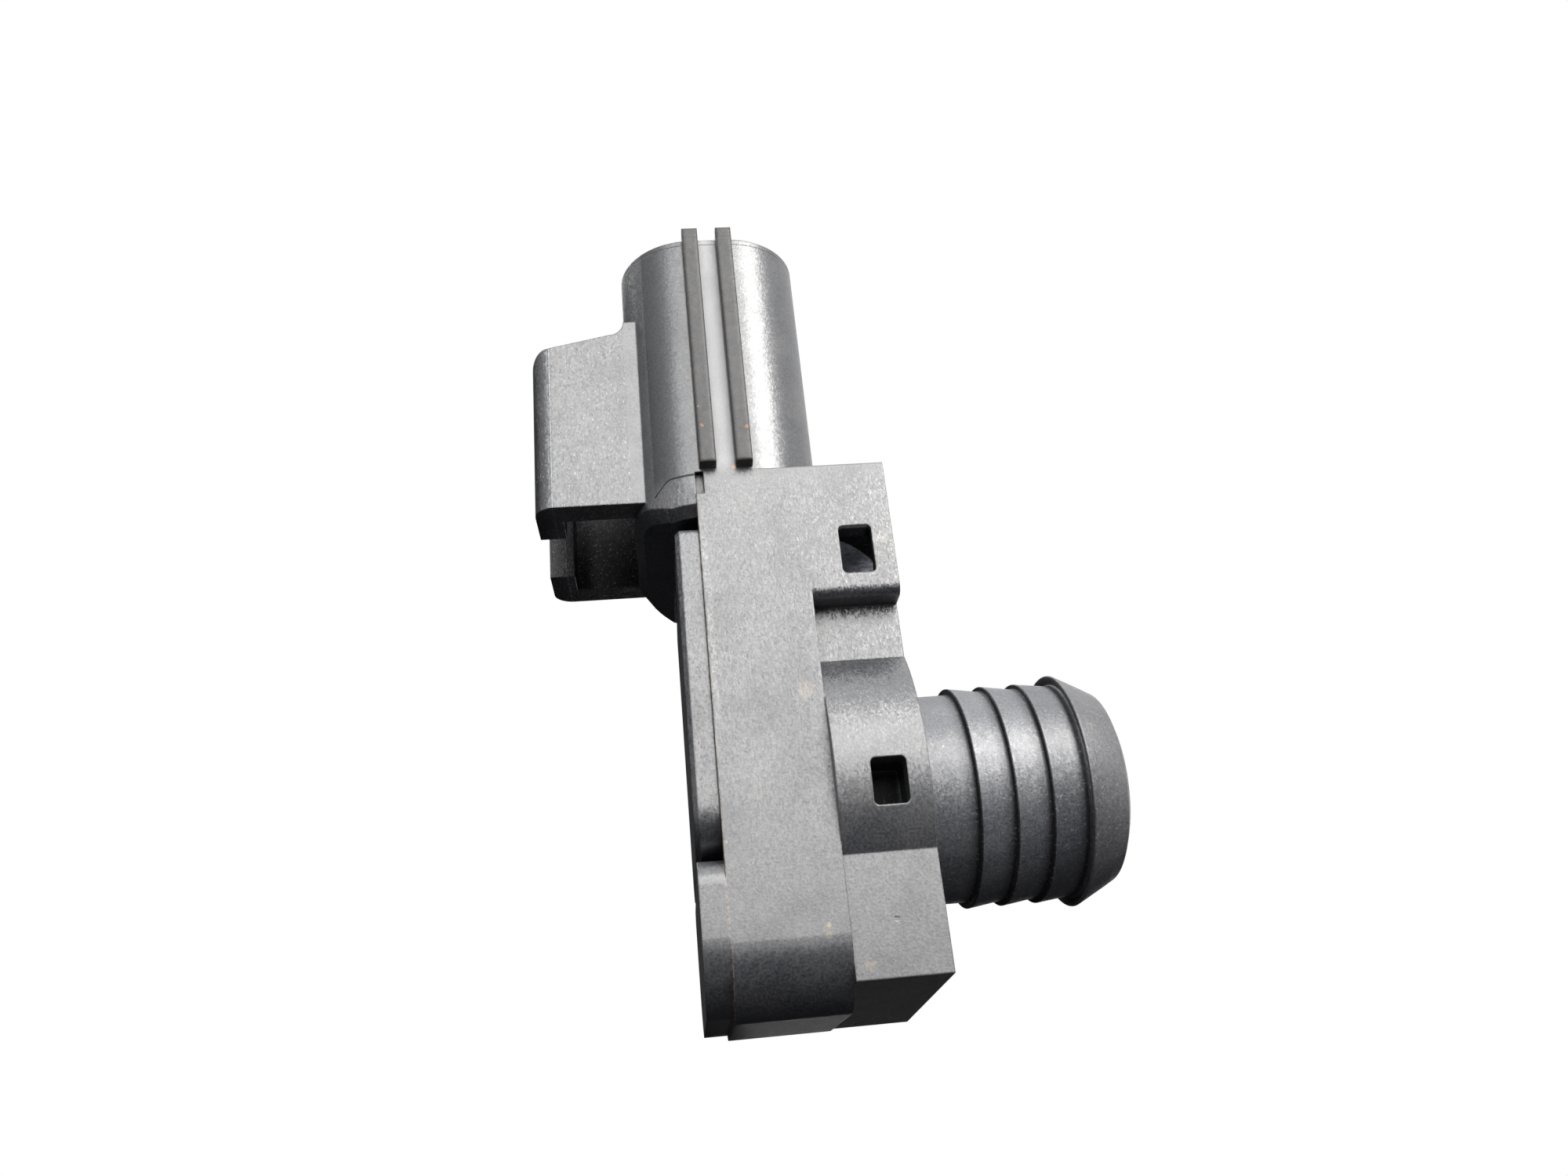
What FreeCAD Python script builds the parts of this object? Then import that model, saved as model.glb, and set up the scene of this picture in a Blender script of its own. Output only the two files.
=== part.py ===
import FreeCAD, Part
import math
import os
import Sketcher

# Pressure sensor that plugs into the wall of a brake booster.
# Frame: origin on the port axis in the seat plane, +X out of the port, +Z up to the plug socket.

os.makedirs("parts", exist_ok=True)
doc = FreeCAD.newDocument("BoosterPressureSensor")
sheet = doc.addObject("Spreadsheet::Sheet", "Sizes")


class Size:
    """A length that carries its number together with the cell formula that gives it."""

    def __init__(self, number, formula):
        self.number = number
        self.formula = formula

    def __add__(self, other):
        other = as_size(other)
        return Size(self.number + other.number, f"({self.formula} + {other.formula})")

    def __sub__(self, other):
        other = as_size(other)
        return Size(self.number - other.number, f"({self.formula} - {other.formula})")

    def __mul__(self, other):
        other = as_size(other)
        return Size(self.number * other.number, f"({self.formula} * {other.formula})")

    def __truediv__(self, other):
        other = as_size(other)
        return Size(self.number / other.number, f"({self.formula} / {other.formula})")

    def __neg__(self):
        return Size(-self.number, f"(0 - {self.formula})")


def as_size(value):
    return value if isinstance(value, Size) else Size(float(value), f"({float(value)})")


def root(value):
    """Square root of a size."""
    return Size(math.sqrt(value.number), f"sqrt({value.formula})")


def edge_height(radius, across):
    """Height of a circle's edge above its centre, at a distance across from the centre line."""
    return root(radius * radius - across * across)


def size(alias, number):
    """One driving dimension in millimetres, in a cell of its own."""
    size.row += 1
    cell = f"A{size.row}"
    sheet.set(cell, str(number))
    sheet.setAlias(cell, alias)
    return Size(float(number), f"Sizes.{alias}")


size.row = 0

# Housing block
block_width = size("block_width", 26.8)
block_top = size("block_top", 27.6)
block_bottom = size("block_bottom", 18.35)
block_corner = size("block_corner", 5.4)
block_back = size("block_back", 16.8)
block_front = size("block_front", 7.6)
notch_wide = size("notch_wide", 0.75)
notch_tall = size("notch_tall", 2.15)
notch_deep = size("notch_deep", 0.6)

# Plinth in front of the block, up to the seat plane
crown_bottom = size("crown_bottom", 14.9)
crown_round = size("crown_round", 0.9)
neck_inset = size("neck_inset", 2.6)
boss_proud = size("boss_proud", 1.3)
plate_inset = size("plate_inset", 0.45)
plate_near = size("plate_near", 16.5)
plate_far = size("plate_far", 17.95)
plate_corner = size("plate_corner", 1.5)

# Windows in the sides, and the cored holes behind the upper ones
window_left = size("window_left", 4.75)
window_wide = size("window_wide", 2.9)
window_corner = size("window_corner", 0.45)
upper_window_low = size("upper_window_low", 16.95)
upper_window_tall = size("upper_window_tall", 4.55)
lower_window_low = size("lower_window_low", -3.55)
lower_window_tall = size("lower_window_tall", 3.75)
lower_window_deep = size("lower_window_deep", 4.2)
core_radius = size("core_radius", 3.1)
core_wall = size("core_wall", 1.2)
core_depth = size("core_depth", 6.4)

# Foot ledge below the cover
foot_top = size("foot_top", -6.3)
foot_round = size("foot_round", 2.1)
foot_lift = size("foot_lift", 0.45)

# Plug socket shroud
shroud_centre = size("shroud_centre", 13.9)
shroud_thick = size("shroud_thick", 17.1)
shroud_corner = size("shroud_corner", 6.75)
shroud_wall = size("shroud_wall", 1.9)
shroud_rim = size("shroud_rim", 53.4)
rim_chamfer = size("rim_chamfer", 0.4)
lead_chamfer = size("lead_chamfer", 0.4)
socket_depth = size("socket_depth", 20.5)
shroud_under = size("shroud_under", 23.6)
ramp_start = size("ramp_start", 19.1)
ramp_rise = size("ramp_rise", 1.5)
under_edge = size("under_edge", 0.9)

# Two guide ribs on the shroud
rib_bottom = size("rib_bottom", 27.9)
rib_left = size("rib_left", 16.35)
rib_thick = size("rib_thick", 1.5)
rib_pitch = size("rib_pitch", 3.22)
rib_proud = size("rib_proud", 1.2)
rib_over_rim = size("rib_over_rim", 0.25)
rib_edge = size("rib_edge", 0.2)

# Guard walls round the plug's latch
guard_low = size("guard_low", 26.3)
guard_outer = size("guard_outer", 31.2)
guard_lip = size("guard_lip", 2.45)
guard_width = size("guard_width", 21.0)
guard_wall = size("guard_wall", 2.85)
guard_gap = size("guard_gap", 8.5)
guard_corner = size("guard_corner", 1.9)
guard_lip_top = size("guard_lip_top", 43.3)
guard_slope = size("guard_slope", 1.25)
guard_root = size("guard_root", 1.4)
guard_round = size("guard_round", 1.6)

# Latch nose that the plug's lever snaps over
nose_low = size("nose_low", 42.6)
nose_tall = size("nose_tall", 4.6)
nose_wide = size("nose_wide", 7.0)
nose_proud = size("nose_proud", 1.9)
nose_flat = size("nose_flat", 0.8)

# Spigot and the pressure bore
spigot_radius = size("spigot_radius", 6.4)
spigot_long = size("spigot_long", 17.2)
collar_rise = size("collar_rise", 0.9)
collar_long = size("collar_long", 2.4)
collar_from_end = size("collar_from_end", 3.6)
bore_radius = size("bore_radius", 2.1)

# Rubber sleeve with its sawtooth rings
sleeve_radius = size("sleeve_radius", 9.3)
sleeve_sink = size("sleeve_sink", 0.5)
sleeve_gap = size("sleeve_gap", 0.1)
valley_radius = size("valley_radius", 9.4)
ring_radius = size("ring_radius", 9.87)
ring_first = size("ring_first", 4.88)
ring_pitch = size("ring_pitch", 3.13)
barb_at = size("barb_at", 14.2)
barb_radius = size("barb_radius", 10.6)
barb_undercut = size("barb_undercut", 0.7)
cone_end = size("cone_end", 17.0)
cone_radius = size("cone_radius", 9.15)
tip_face = size("tip_face", 18.65)
tip_radius = size("tip_radius", 7.4)
bend_at = size("bend_at", 18.1)
bend_radius = size("bend_radius", 8.55)
mouth_radius = size("mouth_radius", 4.6)

# Chamber behind the cover
chamber_width = size("chamber_width", 19.2)
chamber_low = size("chamber_low", -3.6)
chamber_high = size("chamber_high", 19.4)
chamber_depth = size("chamber_depth", 7.2)
chamber_corner = size("chamber_corner", 1.4)

# Cover and the bead that seals it
cover_thick = size("cover_thick", 2.13)
cover_inset = size("cover_inset", 0.35)
cover_below = size("cover_below", 1.25)
cover_gap = size("cover_gap", 0.12)
cover_low_round = size("cover_low_round", 3.9)
cover_top_round = size("cover_top_round", 0.8)
cover_edge = size("cover_edge", 0.4)
tongue_wall = size("tongue_wall", 1.2)
tongue_deep = size("tongue_deep", 1.3)
tongue_gap = size("tongue_gap", 0.12)
bead_wide = size("bead_wide", 1.3)
bead_deep = size("bead_deep", 0.7)
bead_margin = size("bead_margin", 0.9)

# Terminals
terminal_pitch = size("terminal_pitch", 5.0)
blade_wide = size("blade_wide", 1.5)
blade_thick = size("blade_thick", 0.64)
blade_from_rim = size("blade_from_rim", 6.0)
blade_tip = size("blade_tip", 0.7)
tail_drop = size("tail_drop", 2.6)
solder_foot = size("solder_foot", 2.4)
solder_tall = size("solder_tall", 0.6)
solder_rim = size("solder_rim", 0.15)

# Circuit board and the parts on it
board_thick = size("board_thick", 1.0)
board_gap = size("board_gap", 0.3)
board_window = size("board_window", 4.6)
chip_side = size("chip_side", 4.2)
chip_thick = size("chip_thick", 1.0)
chip_up = size("chip_up", 8.2)
capacitor_long = size("capacitor_long", 1.6)
capacitor_wide = size("capacitor_wide", 0.8)
capacitor_tall = size("capacitor_tall", 0.8)
capacitor_pitch = size("capacitor_pitch", 4.2)
capacitor_up = size("capacitor_up", 12.6)

# Pressure cell in its well, with its seal, die and gel
well_radius = size("well_radius", 3.5)
well_gap = size("well_gap", 0.15)
cell_thick = size("cell_thick", 2.0)
cell_channel = size("cell_channel", 0.7)
seal_thick = size("seal_thick", 1.1)
seal_wide = size("seal_wide", 1.0)
seal_gap = size("seal_gap", 0.2)
die_side = size("die_side", 2.4)
die_thick = size("die_thick", 0.6)
dam_side = size("dam_side", 6.4)
dam_wall = size("dam_wall", 0.6)
dam_tall = size("dam_tall", 1.5)
gel_below_rim = size("gel_below_rim", 0.3)

# How far cuts reach past what they cut
overrun = size("overrun", 1.0)

doc.recompute()

# Places worked out from the sizes
half_width = block_width / 2
boss_radius = half_width + boss_proud
neck_half = half_width - neck_inset
plate_half = half_width - plate_inset
shroud_left = -(shroud_centre + shroud_thick / 2)
shroud_right = shroud_thick / 2 - shroud_centre
socket_floor = shroud_rim - socket_depth
blade_end = shroud_rim - blade_from_rim
cover_back = -(block_back + cover_thick)
cover_top = shroud_under - cover_below
chamber_floor = chamber_depth - block_back
board_back = chamber_floor - board_thick
cell_front = chamber_floor + cell_thick
well_floor = cell_front + seal_thick
collar_end = spigot_long - collar_from_end
collar_start = collar_end - collar_long
collar_radius = spigot_radius + collar_rise
tail_low = chamber_high - tail_drop
terminal_places = (-1, 0, 1)

# Points nearer than this are one place
same_place = 0.01


def bind(thing, prop, value):
    """Tie a property to the cell formula of a size."""
    thing.setExpression(prop, as_size(value).formula)


def new_body(label):
    body = doc.addObject("PartDesign::Body", "Body_" + label)
    body.Label = label
    return body


def origin_plane(body, role):
    return [f for f in body.Origin.OriginFeatures if f.Role == role][0]


def new_sketch(body, name, role, offset=0.0):
    """A sketch on one of the body's own planes, moved along that plane's normal."""
    sketch = body.newObject("Sketcher::SketchObject", name)
    sketch.AttachmentSupport = [(origin_plane(body, role), "")]
    sketch.MapMode = "FlatFace"
    bind(sketch, "AttachmentOffset.Base.z", offset)
    return sketch


def hold(sketch, kind, value, *ends):
    """A dimension of the sketch, tied to its size."""
    value = as_size(value)
    index = sketch.addConstraint(Sketcher.Constraint(kind, *ends, value.number))
    bind(sketch, f"Constraints[{index}]", value)


def arc_between(a, b, radius, turn):
    """The shorter arc from a to b, anticlockwise for turn 1 and clockwise for turn -1."""
    chord = b - a
    half = chord.Length / 2
    sideways = FreeCAD.Vector(-chord.y, chord.x, 0) / chord.Length
    rise = math.sqrt(max(radius * radius - half * half, 0.0))
    centre = (a + b) / 2 + sideways * rise * turn
    start, end = (a, b) if turn > 0 else (b, a)
    from_angle = math.atan2(start.y - centre.y, start.x - centre.x)
    to_angle = math.atan2(end.y - centre.y, end.x - centre.x)
    circle = Part.Circle(centre, FreeCAD.Vector(0, 0, 1), radius)
    return Part.ArcOfCircle(circle, from_angle, to_angle)


def add_loop(sketch, corners):
    """A closed loop of lines and arcs.

    A corner is (u, v), reached by a line from the corner before it, or (u, v, radius, turn), reached
    by an arc: turn is 1 where the arc runs anticlockwise and -1 where it runs clockwise.
    """
    count = len(corners)
    spots = [FreeCAD.Vector(as_size(c[0]).number, as_size(c[1]).number, 0) for c in corners]
    edges = []
    for i in range(count):
        after = (i + 1) % count
        if len(corners[after]) == 2:
            index = sketch.addGeometry(Part.LineSegment(spots[i], spots[after]))
            edges.append((index, 1, 2))
            continue
        radius = as_size(corners[after][2])
        turn = corners[after][3]
        index = sketch.addGeometry(arc_between(spots[i], spots[after], radius.number, turn))
        edges.append((index, 1, 2) if turn > 0 else (index, 2, 1))
        hold(sketch, "Radius", radius, index)
    for i in range(count):
        index, start, end = edges[i]
        follower, its_start, _ = edges[(i + 1) % count]
        sketch.addConstraint(Sketcher.Constraint("Coincident", index, end, follower, its_start))
        hold(sketch, "DistanceX", corners[i][0], -1, 1, index, start)
        hold(sketch, "DistanceY", corners[i][1], -1, 1, index, start)


def add_circle(sketch, u, v, radius):
    """A circle held by its centre and radius."""
    centre = FreeCAD.Vector(as_size(u).number, as_size(v).number, 0)
    index = sketch.addGeometry(Part.Circle(centre, FreeCAD.Vector(0, 0, 1), as_size(radius).number))
    hold(sketch, "DistanceX", u, -1, 1, index, 3)
    hold(sketch, "DistanceY", v, -1, 1, index, 3)
    hold(sketch, "Radius", radius, index)


def add_box(sketch, left, right, low, high):
    add_loop(sketch, [(left, low), (right, low), (right, high), (left, high)])


def add_square(sketch, side):
    """A square on the sketch's own origin."""
    add_box(sketch, -side / 2, side / 2, -side / 2, side / 2)


def add_round_box(sketch, left, right, low, high, low_round, high_round=None):
    """A rectangle with rounded corners; the upper two may have a radius of their own."""
    upper = low_round if high_round is None else high_round
    add_loop(sketch, [
        (left + low_round, low, low_round, 1), (right - low_round, low),
        (right, low + low_round, low_round, 1), (right, high - upper),
        (right - upper, high, upper, 1), (left + upper, high),
        (left, high - upper, upper, 1), (left, low + low_round),
    ])


def pad(body, name, sketch, length, reverse=False, midplane=False):
    feature = body.newObject("PartDesign::Pad", name)
    feature.Profile = sketch
    bind(feature, "Length", length)
    feature.Reversed = reverse
    feature.Midplane = midplane
    doc.recompute()
    return feature


def pocket(body, name, sketch, length, reverse=False, midplane=False):
    """Cut a sketch's outline into the body, and make sure that it takes something away."""
    before = body.Shape.Volume
    feature = body.newObject("PartDesign::Pocket", name)
    feature.Profile = sketch
    bind(feature, "Length", length)
    feature.Reversed = reverse
    feature.Midplane = midplane
    doc.recompute()
    if body.Shape.Volume >= before:
        raise RuntimeError(f"{name} cuts nothing")
    return feature


def revolve(body, name, sketch):
    """Turn a sketch of the XZ plane once round the port axis."""
    feature = body.newObject("PartDesign::Revolution", name)
    feature.Profile = sketch
    feature.ReferenceAxis = (sketch, ["H_Axis"])
    feature.Angle = 360
    doc.recompute()
    return feature


def near(number, value):
    return abs(number - as_size(value).number) < same_place


def dress(body, kind, name, prop, value, wanted):
    """A fillet or chamfer on the edges whose ends and middle all pass a test."""
    names = []
    for i, edge in enumerate(body.Shape.Edges):
        middle = edge.valueAt((edge.FirstParameter + edge.LastParameter) / 2)
        if all(wanted(p) for p in [v.Point for v in edge.Vertexes] + [middle]):
            names.append(f"Edge{i + 1}")
    if not names:
        raise RuntimeError(f"{name} finds no edge")
    base = body.Tip
    feature = body.newObject("PartDesign::" + kind, name)
    feature.Base = (base, names)
    bind(feature, prop, value)
    doc.recompute()
    return feature


def mirror_across(body, name, features):
    """Repeat features on the other side of the middle plane."""
    feature = body.newObject("PartDesign::Mirrored", name)
    feature.Originals = features
    feature.MirrorPlane = (origin_plane(body, "XZ_Plane"), [""])
    body.Tip = feature
    doc.recompute()
    return feature


def block_outline(top, bottom):
    """The block seen along the port: flat sides, and a bottom with two round corners."""
    return [
        (-half_width, top), (-half_width, block_corner - bottom),
        (block_corner - half_width, -bottom, block_corner, 1), (half_width - block_corner, -bottom),
        (half_width, block_corner - bottom, block_corner, 1), (half_width, top),
    ]


def make_block(body):
    sketch = new_sketch(body, "BlockOutline", "YZ_Plane", -block_front)
    add_loop(sketch, block_outline(block_top, block_bottom))
    pad(body, "Block", sketch, block_back - block_front, reverse=True)


def make_plinth(body):
    """Crown, neck, round boss and foot plate, all ending in the seat plane."""
    boss_high = edge_height(boss_radius, neck_half)
    boss_low = edge_height(boss_radius, plate_half)
    sketch = new_sketch(body, "PlinthOutline", "YZ_Plane")
    add_loop(sketch, [
        (-half_width, block_top), (-half_width, crown_bottom + crown_round),
        (crown_round - half_width, crown_bottom, crown_round, 1), (-neck_half, crown_bottom),
        (-neck_half, boss_high), (-plate_half, -boss_low, boss_radius, 1), (-plate_half, -plate_near),
        (plate_half - plate_corner, -plate_far),
        (plate_half, plate_corner - plate_far, plate_corner, 1),
        (plate_half, -boss_low), (neck_half, boss_high, boss_radius, 1), (neck_half, crown_bottom),
        (half_width - crown_round, crown_bottom),
        (half_width, crown_bottom + crown_round, crown_round, 1), (half_width, block_top),
    ])
    pad(body, "Plinth", sketch, block_front, reverse=True)
    recess = new_sketch(body, "SleeveSeat", "YZ_Plane")
    add_circle(recess, 0, 0, sleeve_radius + sleeve_gap)
    pocket(body, "SleeveRecess", recess, sleeve_sink)


def make_foot(body):
    """The ledge that the cover stands on, with rounded shoulders."""
    outline = block_outline(foot_top - foot_round, block_bottom - foot_lift)
    outline[0] += (foot_round, 1)
    outline += [(half_width - foot_round, foot_top, foot_round, 1), (foot_round - half_width, foot_top)]
    sketch = new_sketch(body, "FootOutline", "YZ_Plane", -block_back)
    add_loop(sketch, outline)
    pad(body, "Foot", sketch, cover_thick, reverse=True)


def make_shroud(body):
    """The oval plug shroud, with a sloping underside where it overhangs the cover."""
    sketch = new_sketch(body, "ShroudPlan", "XY_Plane", shroud_under)
    add_round_box(sketch, shroud_left, shroud_right, -half_width, half_width, shroud_corner)
    pad(body, "Shroud", sketch, shroud_rim - shroud_under)
    slope_end = shroud_left - overrun
    below = shroud_under - overrun
    rise = ramp_rise * (-ramp_start - slope_end) / (-ramp_start - shroud_left)
    profile = new_sketch(body, "RampProfile", "XZ_Plane")
    add_loop(profile, [
        (-ramp_start, below), (-ramp_start, shroud_under),
        (slope_end, shroud_under + rise), (slope_end, below),
    ])
    pocket(body, "Ramp", profile, block_width * 2, midplane=True)
    dress(body, "Chamfer", "UnderEdge", "Size", under_edge, on_under_edge)
    dress(body, "Chamfer", "RimEdge", "Size", rim_chamfer, lambda p: near(p.z, shroud_rim))


def on_under_edge(point):
    """True along the overhang's lower outline, behind the block."""
    back = point.x < same_place - block_back.number
    from_low = point.z - shroud_under.number
    band = -same_place < from_low < ramp_rise.number + same_place
    return back and band and shroud_inset(point) < same_place


def shroud_inset(point):
    """How far a point lies inside the shroud's outline."""
    across = abs(point.x + shroud_centre.number) - (shroud_thick / 2 - shroud_corner).number
    along = abs(point.y) - (half_width - shroud_corner).number
    if across > 0 and along > 0:
        return shroud_corner.number - math.hypot(across, along)
    return shroud_corner.number - max(across, along)


def make_guard(body):
    """Two walls with turned-in lips, cut to a falling top edge."""
    outer = guard_width / 2
    inner = outer - guard_wall
    lip_end = guard_gap / 2
    left = -guard_outer
    lip_back = guard_lip - guard_outer
    root_top = guard_lip_top + guard_slope + guard_root
    sketch = new_sketch(body, "GuardPlan", "XY_Plane", guard_low)
    for side in (-1, 1):
        add_loop(sketch, [
            (-shroud_centre, outer * side), (left + guard_corner, outer * side),
            (left, (outer - guard_corner) * side, guard_corner, side), (left, lip_end * side),
            (lip_back, lip_end * side), (lip_back, inner * side), (-shroud_centre, inner * side),
        ])
    pad(body, "Guard", sketch, root_top - guard_low)
    above = root_top + overrun
    beyond = left - overrun
    profile = new_sketch(body, "GuardTopProfile", "XZ_Plane")
    add_loop(profile, [
        (beyond, guard_lip_top - guard_round), (left, guard_lip_top - guard_round),
        (left + guard_round, guard_lip_top, guard_round, -1),
        (shroud_left - guard_root, guard_lip_top + guard_slope),
        (shroud_left, root_top, guard_root, 1), (shroud_left, above), (beyond, above),
    ])
    pocket(body, "GuardTop", profile, guard_width * 2, midplane=True)


def make_socket(body):
    wall_right = shroud_right - shroud_wall
    wall_left = shroud_left + shroud_wall
    wall_side = half_width - shroud_wall
    sketch = new_sketch(body, "SocketPlan", "XY_Plane", shroud_rim)
    add_round_box(sketch, wall_left, wall_right, -wall_side, wall_side, shroud_corner - shroud_wall)
    pocket(body, "Socket", sketch, socket_depth)
    dress(body, "Chamfer", "LeadIn", "Size", lead_chamfer,
          lambda p: near(p.z, shroud_rim) and near(shroud_inset(p), shroud_wall))


def make_ribs(body):
    face = -half_width - rib_proud
    sketch = new_sketch(body, "RibPlan", "XY_Plane", rib_bottom)
    for i in range(2):
        left = rib_pitch * i - rib_left
        add_box(sketch, left, left + rib_thick, face, shroud_wall / 2 - half_width)
    pad(body, "Ribs", sketch, shroud_rim + rib_over_rim - rib_bottom)
    dress(body, "Fillet", "RibEdges", "Radius", rib_edge, lambda p: near(p.y, face))


def make_nose(body):
    """The wedge on the shroud that the plug's lever snaps over."""
    foot = shroud_left + shroud_wall / 2
    face = shroud_left - nose_proud
    top = nose_low + nose_tall
    sketch = new_sketch(body, "NoseProfile", "XZ_Plane")
    add_loop(sketch, [
        (foot, nose_low), (foot, top), (shroud_left, top),
        (face, nose_low + nose_flat), (face, nose_low),
    ])
    pad(body, "Nose", sketch, nose_wide, midplane=True)


def make_notches(body):
    """The small step in the block's upper rear corners."""
    sketch = new_sketch(body, "NotchOutline", "XZ_Plane", half_width)
    add_box(sketch, -block_back, notch_wide - block_back, block_top - notch_tall, block_top)
    first = pocket(body, "Notch", sketch, notch_deep)
    mirror_across(body, "OtherNotch", [first])


def make_windows(body):
    """Two windows on each side; the upper one opens into a cored hole."""
    right = window_wide - window_left
    upper_window_high = upper_window_low + upper_window_tall
    core_side = half_width - core_wall - core_radius
    core_up = (upper_window_low + upper_window_high) / 2
    cores = new_sketch(body, "CorePlan", "YZ_Plane")
    for side in (-1, 1):
        add_circle(cores, core_side * side, core_up, core_radius)
    pocket(body, "Cores", cores, core_depth)
    upper = new_sketch(body, "UpperWindow", "XZ_Plane", half_width)
    add_round_box(upper, -window_left, right, upper_window_low, upper_window_high, window_corner)
    first = pocket(body, "UpperOpening", upper, core_wall + core_radius)
    lower = new_sketch(body, "LowerWindow", "XZ_Plane", boss_radius)
    add_round_box(lower, -window_left, right, lower_window_low,
                  lower_window_low + lower_window_tall, window_corner)
    second = pocket(body, "LowerOpening", lower, lower_window_deep)
    mirror_across(body, "OtherWindows", [first, second])


def make_spigot(body):
    """The hard stub inside the rubber sleeve, with a collar that holds the sleeve on."""
    sketch = new_sketch(body, "SpigotProfile", "XZ_Plane")
    add_loop(sketch, [
        (-block_front, 0), (spigot_long, 0), *spigot_corners(), (-block_front, spigot_radius),
    ])
    revolve(body, "Spigot", sketch)


def spigot_corners():
    """The spigot's outline from its end face back to the near side of its collar."""
    return [
        (spigot_long, spigot_radius), (collar_end, spigot_radius),
        (collar_end - collar_rise, collar_radius),
        (collar_start, collar_radius), (collar_start, spigot_radius),
    ]


def make_chamber(body):
    """The room behind the cover, the well for the cell and the bore to the port."""
    half = chamber_width / 2
    room = new_sketch(body, "ChamberPlan", "YZ_Plane", -block_back)
    add_round_box(room, -half, half, chamber_low, chamber_high, chamber_corner)
    pocket(body, "Chamber", room, chamber_depth, reverse=True)
    well = new_sketch(body, "WellPlan", "YZ_Plane", chamber_floor)
    add_circle(well, 0, 0, well_radius)
    pocket(body, "Well", well, well_floor - chamber_floor, reverse=True)
    bore = new_sketch(body, "BorePlan", "YZ_Plane", spigot_long)
    add_circle(bore, 0, 0, bore_radius)
    pocket(body, "Bore", bore, spigot_long - well_floor)
    groove = new_sketch(body, "GroovePlan", "YZ_Plane", -block_back)
    add_bead_plan(groove)
    pocket(body, "Groove", groove, bead_deep, reverse=True)


def add_bead_plan(sketch):
    """Two rounded rectangles round the chamber, with the bead between them."""
    for out in (bead_margin, bead_margin + bead_wide):
        half = chamber_width / 2 + out
        add_round_box(sketch, -half, half, chamber_low - out, chamber_high + out, chamber_corner + out)


def make_blade_slots(body):
    """The blades are moulded in, so each slot has its blade's section."""
    sketch = new_sketch(body, "SlotPlan", "XY_Plane", socket_floor)
    for place in terminal_places:
        middle = terminal_pitch * place
        add_box(sketch, -shroud_centre - blade_thick / 2, blade_thick / 2 - shroud_centre,
                middle - blade_wide / 2, middle + blade_wide / 2)
    pocket(body, "Slots", sketch, socket_floor - chamber_high)


def make_housing():
    body = new_body("housing")
    make_block(body)
    make_plinth(body)
    make_foot(body)
    make_shroud(body)
    make_guard(body)
    make_spigot(body)
    make_socket(body)
    make_ribs(body)
    make_nose(body)
    make_notches(body)
    make_windows(body)
    make_chamber(body)
    make_blade_slots(body)
    return body


def make_cover():
    """A lid with a tongue that centres it in the chamber."""
    body = new_body("rear_cover")
    half = half_width - cover_inset
    plan = new_sketch(body, "LidPlan", "YZ_Plane", -block_back)
    add_round_box(plan, -half, half, foot_top + cover_gap, cover_top, cover_low_round, cover_top_round)
    pad(body, "Lid", plan, cover_thick, reverse=True)
    dress(body, "Chamfer", "LidEdge", "Size", cover_edge, lambda p: near(p.x, cover_back))
    tongue = new_sketch(body, "TonguePlan", "YZ_Plane", -block_back)
    for inset in (tongue_gap, tongue_gap + tongue_wall):
        side = chamber_width / 2 - inset
        add_round_box(tongue, -side, side, chamber_low + inset, chamber_high - inset,
                      chamber_corner - tongue_gap)
    pad(body, "Tongue", tongue, tongue_deep)
    return body


def make_cover_seal():
    body = new_body("cover_seal")
    plan = new_sketch(body, "BeadPlan", "YZ_Plane", -block_back)
    add_bead_plan(plan)
    pad(body, "Bead", plan, bead_deep)
    return body


def make_sleeve():
    """The rubber sleeve: three sawtooth rings, an undercut barb and a blunt tip."""
    body = new_body("port_sleeve")
    corners = [
        (-sleeve_sink, spigot_radius), *reversed(spigot_corners()),
        (spigot_long, mouth_radius), (tip_face, mouth_radius), (tip_face, tip_radius),
        (bend_at, bend_radius), (cone_end, cone_radius), (barb_at, barb_radius),
        (barb_at + barb_undercut, valley_radius),
    ]
    for i in (2, 1, 0):
        at = ring_first + ring_pitch * i
        foot_radius = valley_radius if i else sleeve_radius
        corners += [(at, ring_radius), (at, foot_radius)]
    corners.append((-sleeve_sink, sleeve_radius))
    sketch = new_sketch(body, "SleeveProfile", "XZ_Plane")
    add_loop(sketch, corners)
    revolve(body, "Sleeve", sketch)
    return body


def make_terminal(label, place):
    """A blade that comes down into the chamber and turns to its hole in the board."""
    body = new_body(label)
    middle = terminal_pitch * place
    left = -shroud_centre - blade_thick / 2
    right = blade_thick / 2 - shroud_centre
    sketch = new_sketch(body, "BladeProfile", "XZ_Plane", -middle)
    add_loop(sketch, [
        (left, tail_low), (chamber_floor, tail_low), (chamber_floor, tail_low + blade_thick),
        (right, tail_low + blade_thick), (right, blade_end - blade_tip),
        (right - blade_thick / 4, blade_end), (left + blade_thick / 4, blade_end),
        (left, blade_end - blade_tip),
    ])
    pad(body, "Blade", sketch, blade_wide, midplane=True)
    dress(body, "Chamfer", "BladeTip", "Size", blade_tip / 2,
          lambda p: near(p.z, blade_end) and near(abs(p.y - middle.number), blade_wide / 2))
    return body


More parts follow.
